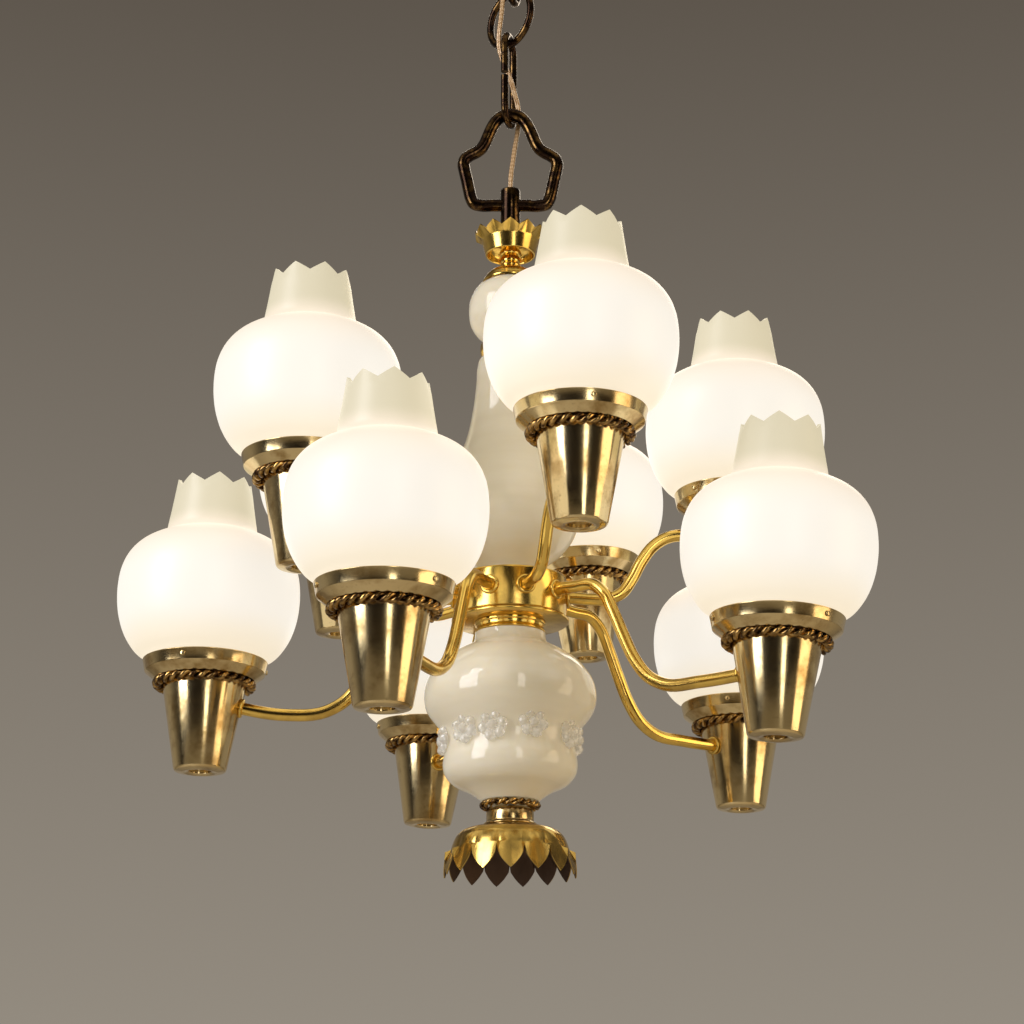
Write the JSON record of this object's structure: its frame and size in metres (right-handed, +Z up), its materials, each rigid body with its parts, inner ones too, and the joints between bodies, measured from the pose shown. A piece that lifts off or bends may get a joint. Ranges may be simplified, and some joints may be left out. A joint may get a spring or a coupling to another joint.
{
  "type": "multi arm chandelier",
  "caption": "Two-tier multi arm chandelier of brass with opal glass shades in cup holders, a glass urn under the hub, hung on a chain with a star-shaped loop.",
  "frame": {"origin": "centre of the ceiling plate's top face, where it meets the ceiling", "axes": "+Z up, out of the ceiling plate's top face; the star loop's face looks along -Y; +X to the right of it"},
  "size_m": [0.5943, 0.6183, 0.9265],
  "materials": {
    "polished_brass": "polished, lacquer worn",
    "aged_brass": "polished, darkened by age",
    "bronzed_wire": "dark bronzed, rubbed through to brass",
    "steel": "zinc plated",
    "opal_glass": "satin opal, lit from inside",
    "cream_glass": "fire polished opal",
    "clear_flex": "clear plastic over copper",
    "porcelain": "glazed"
  },
  "bodies": {
    "ceiling": {"ceiling_plate": "steel", "ceiling_hook": "steel", "terminal_block": "porcelain", "flex_to_canopy": "clear_flex"},
    "canopy": {"canopy": "polished_brass"},
    "upper_link": {"upper_link": "bronzed_wire", "flex_to_upper_link": "clear_flex"},
    "ring_link": {"ring_link": "bronzed_wire", "flex_to_ring": "clear_flex"},
    "oval_link": {"oval_link": "bronzed_wire"},
    "lamp": {"star_loop": "bronzed_wire", "stem_sleeve": "bronzed_wire", "top_crown": "polished_brass", "collar_nut": "polished_brass", "ball_cap": "polished_brass", "glass_ball": "cream_glass", "neck_bead": "polished_brass", "glass_vase": "cream_glass", "hub_drum": "polished_brass", "hub_plate": "polished_brass", "urn_gallery": "polished_brass", "glass_urn": "cream_glass", "rope_ring": "aged_brass", "foot_spool": "polished_brass", "petal_crown": "polished_brass", "finial_nut": "polished_brass", "centre_rod": "steel", "flex_to_oval_link": "clear_flex", "arm_1": "polished_brass", "cup_1": "aged_brass", "arm_2": "polished_brass", "cup_2": "aged_brass", "arm_3": "polished_brass", "cup_3": "aged_brass", "arm_4": "polished_brass", "cup_4": "aged_brass", "arm_5": "polished_brass", "cup_5": "aged_brass", "arm_6": "polished_brass", "cup_6": "aged_brass", "arm_7": "polished_brass", "cup_7": "aged_brass", "arm_8": "polished_brass", "cup_8": "aged_brass", "arm_9": "polished_brass", "cup_9": "aged_brass", "arm_10": "polished_brass", "cup_10": "aged_brass"},
    "shade_1": {"shade_1": "opal_glass"},
    "shade_2": {"shade_2": "opal_glass"},
    "shade_3": {"shade_3": "opal_glass"},
    "shade_4": {"shade_4": "opal_glass"},
    "shade_5": {"shade_5": "opal_glass"},
    "shade_6": {"shade_6": "opal_glass"},
    "shade_7": {"shade_7": "opal_glass"},
    "shade_8": {"shade_8": "opal_glass"},
    "shade_9": {"shade_9": "opal_glass"},
    "shade_10": {"shade_10": "opal_glass"}
  },
  "joints": [
    {"name": "canopy_slide", "type": "slide", "parent": "ceiling", "child": "canopy", "axis": [0, 0, -1], "range_m": [0, 0.04]},
    {"name": "hook_swing", "type": "hinge", "parent": "ceiling", "child": "upper_link", "pos_m": [0.0022, 0, -0.0743], "axis": [1, 0, 0], "range_deg": [-25, 25], "deforming": ["flex_to_canopy"]},
    {"name": "ring_swing", "type": "hinge", "parent": "upper_link", "child": "ring_link", "pos_m": [0.0022, 0, -0.15125], "axis": [0.2924, 0.9563, 0], "range_deg": [-18, 18], "deforming": ["flex_to_upper_link"]},
    {"name": "oval_link_swing", "type": "hinge", "parent": "ring_link", "child": "oval_link", "pos_m": [0, 0, -0.1945], "axis": [0.682, -0.7314, 0], "range_deg": [-20, 20], "deforming": ["flex_to_ring"]},
    {"name": "lamp_swing", "type": "hinge", "parent": "oval_link", "child": "lamp", "pos_m": [-0.0012, 0, -0.27225], "axis": [0.2924, 0.9563, 0], "range_deg": [-20, 20], "deforming": ["flex_to_oval_link"]},
    {"name": "shade_1_lift", "type": "slide", "parent": "lamp", "child": "shade_1", "axis": [0.0168, -0.0153, 0.9997], "range_m": [0, 0.03]},
    {"name": "shade_2_lift", "type": "slide", "parent": "lamp", "child": "shade_2", "axis": [0.0512, -0.0022, 0.9987], "range_m": [0, 0.03]},
    {"name": "shade_3_lift", "type": "slide", "parent": "lamp", "child": "shade_3", "axis": [0.0194, 0.0046, 0.9998], "range_m": [0, 0.03]},
    {"name": "shade_4_lift", "type": "slide", "parent": "lamp", "child": "shade_4", "axis": [0.0189, 0.0155, 0.9997], "range_m": [0, 0.03]},
    {"name": "shade_5_lift", "type": "slide", "parent": "lamp", "child": "shade_5", "axis": [-0.0273, 0.0068, 0.9996], "range_m": [0, 0.03]},
    {"name": "shade_6_lift", "type": "slide", "parent": "lamp", "child": "shade_6", "axis": [0.0395, 0.008, 0.9992], "range_m": [0, 0.03]},
    {"name": "shade_7_lift", "type": "slide", "parent": "lamp", "child": "shade_7", "axis": [-0.0035, -0.0016, 1], "range_m": [0, 0.03]},
    {"name": "shade_8_lift", "type": "slide", "parent": "lamp", "child": "shade_8", "axis": [0.009, 0.0084, 0.9999], "range_m": [0, 0.03]},
    {"name": "shade_9_lift", "type": "slide", "parent": "lamp", "child": "shade_9", "axis": [0.0003, -0.0102, 0.9999], "range_m": [0, 0.03]},
    {"name": "shade_10_lift", "type": "slide", "parent": "lamp", "child": "shade_10", "axis": [0.0001, -0.0188, 0.9998], "range_m": [0, 0.03]}
  ]
}
